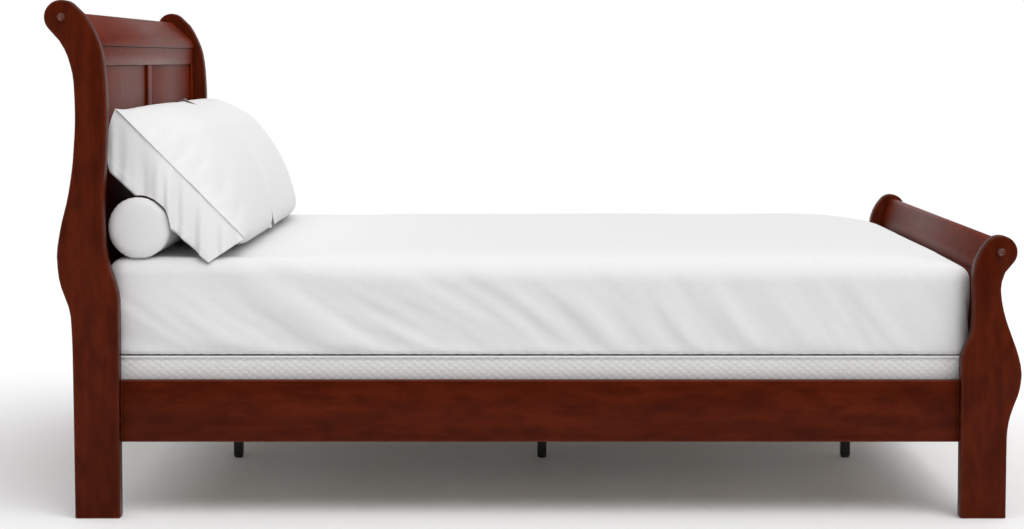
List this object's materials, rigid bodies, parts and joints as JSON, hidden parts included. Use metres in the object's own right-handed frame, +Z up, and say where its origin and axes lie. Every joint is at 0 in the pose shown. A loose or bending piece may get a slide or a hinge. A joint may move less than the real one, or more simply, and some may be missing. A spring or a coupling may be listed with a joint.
{
  "type": "sleigh bed",
  "caption": "Sleigh bed with scrolled head and foot ends, side rails, slats and centre legs, made up with foundation, mattress, sheet, pillows and a bolster.",
  "frame": {"origin": "on the floor at the middle of the bed", "axes": "+X from head to foot, +Y from the left side to the right side, +Z up"},
  "size_m": [2.2664, 1.6316, 1.2079],
  "materials": {
    "cherry": "dark red-brown cherry stain under satin lacquer",
    "pine": "raw planed pine",
    "zinc_steel": "zinc-plated pressed steel",
    "black_leg": "satin black paint",
    "knit": "quilted stretch knit, off-white",
    "ticking": "plain mattress cover",
    "cotton": "smooth white cotton"
  },
  "bodies": {
    "frame": {"catch_plate_foot_left": "zinc_steel", "catch_plate_foot_right": "zinc_steel", "catch_plate_head_left": "zinc_steel", "catch_plate_head_right": "zinc_steel", "centre_leg_1": "black_leg", "centre_leg_2": "black_leg", "centre_leg_3": "black_leg", "foot_bottom_rail": "cherry", "foot_centre_stile": "cherry", "foot_crest": "cherry", "foot_end_stile_left": "cherry", "foot_end_stile_right": "cherry", "foot_panel_left": "cherry", "foot_panel_right": "cherry", "foot_post_left": "cherry", "foot_post_right": "cherry", "foot_rosette_left": "cherry", "foot_rosette_right": "cherry", "foot_top_rail": "cherry", "head_bottom_rail": "cherry", "head_centre_stile": "cherry", "head_crest": "cherry", "head_end_stile_left": "cherry", "head_end_stile_right": "cherry", "head_panel_left": "cherry", "head_panel_right": "cherry", "head_post_left": "cherry", "head_post_right": "cherry", "head_rosette_left": "cherry", "head_rosette_right": "cherry", "head_top_rail": "cherry", "hook_plate_foot_left": "zinc_steel", "hook_plate_foot_right": "zinc_steel", "hook_plate_head_left": "zinc_steel", "hook_plate_head_right": "zinc_steel", "ledger_left": "pine", "ledger_right": "pine", "side_rail_left": "cherry", "side_rail_right": "cherry", "slat_1": "pine", "slat_2": "pine", "slat_3": "pine", "slat_4": "pine", "slat_5": "pine"},
    "foundation": {"foundation": "knit"},
    "mattress": {"mattress": "ticking", "fitted_sheet": "cotton"},
    "pillow_left": {"pillow_left": "cotton"},
    "pillow_right": {"pillow_right": "cotton"},
    "bolster": {"bolster": "cotton"},
    "leveller_1": {"leveller_1": "black_leg"},
    "leveller_2": {"leveller_2": "black_leg"},
    "leveller_3": {"leveller_3": "black_leg"}
  },
  "joints": [
    {"name": "foundation_lift", "type": "slide", "parent": "frame", "child": "foundation", "axis": [0, 0, 1], "range_m": [0, 0.3]},
    {"name": "mattress_lift", "type": "slide", "parent": "foundation", "child": "mattress", "axis": [0, 0, 1], "range_m": [0, 0.3]},
    {"name": "bolster_lift", "type": "slide", "parent": "mattress", "child": "bolster", "axis": [0, 0, 1], "range_m": [0, 0.4]},
    {"name": "pillow_left_lift", "type": "slide", "parent": "bolster", "child": "pillow_left", "axis": [0, 0, 1], "range_m": [0, 0.4]},
    {"name": "pillow_right_lift", "type": "slide", "parent": "bolster", "child": "pillow_right", "axis": [0, 0, 1], "range_m": [0, 0.4]},
    {"name": "leveller_1_screw", "type": "slide", "parent": "frame", "child": "leveller_1", "axis": [0, 0, -1], "range_m": [0, 0.02]},
    {"name": "leveller_2_screw", "type": "slide", "parent": "frame", "child": "leveller_2", "axis": [0, 0, -1], "range_m": [0, 0.02]},
    {"name": "leveller_3_screw", "type": "slide", "parent": "frame", "child": "leveller_3", "axis": [0, 0, -1], "range_m": [0, 0.02]}
  ]
}
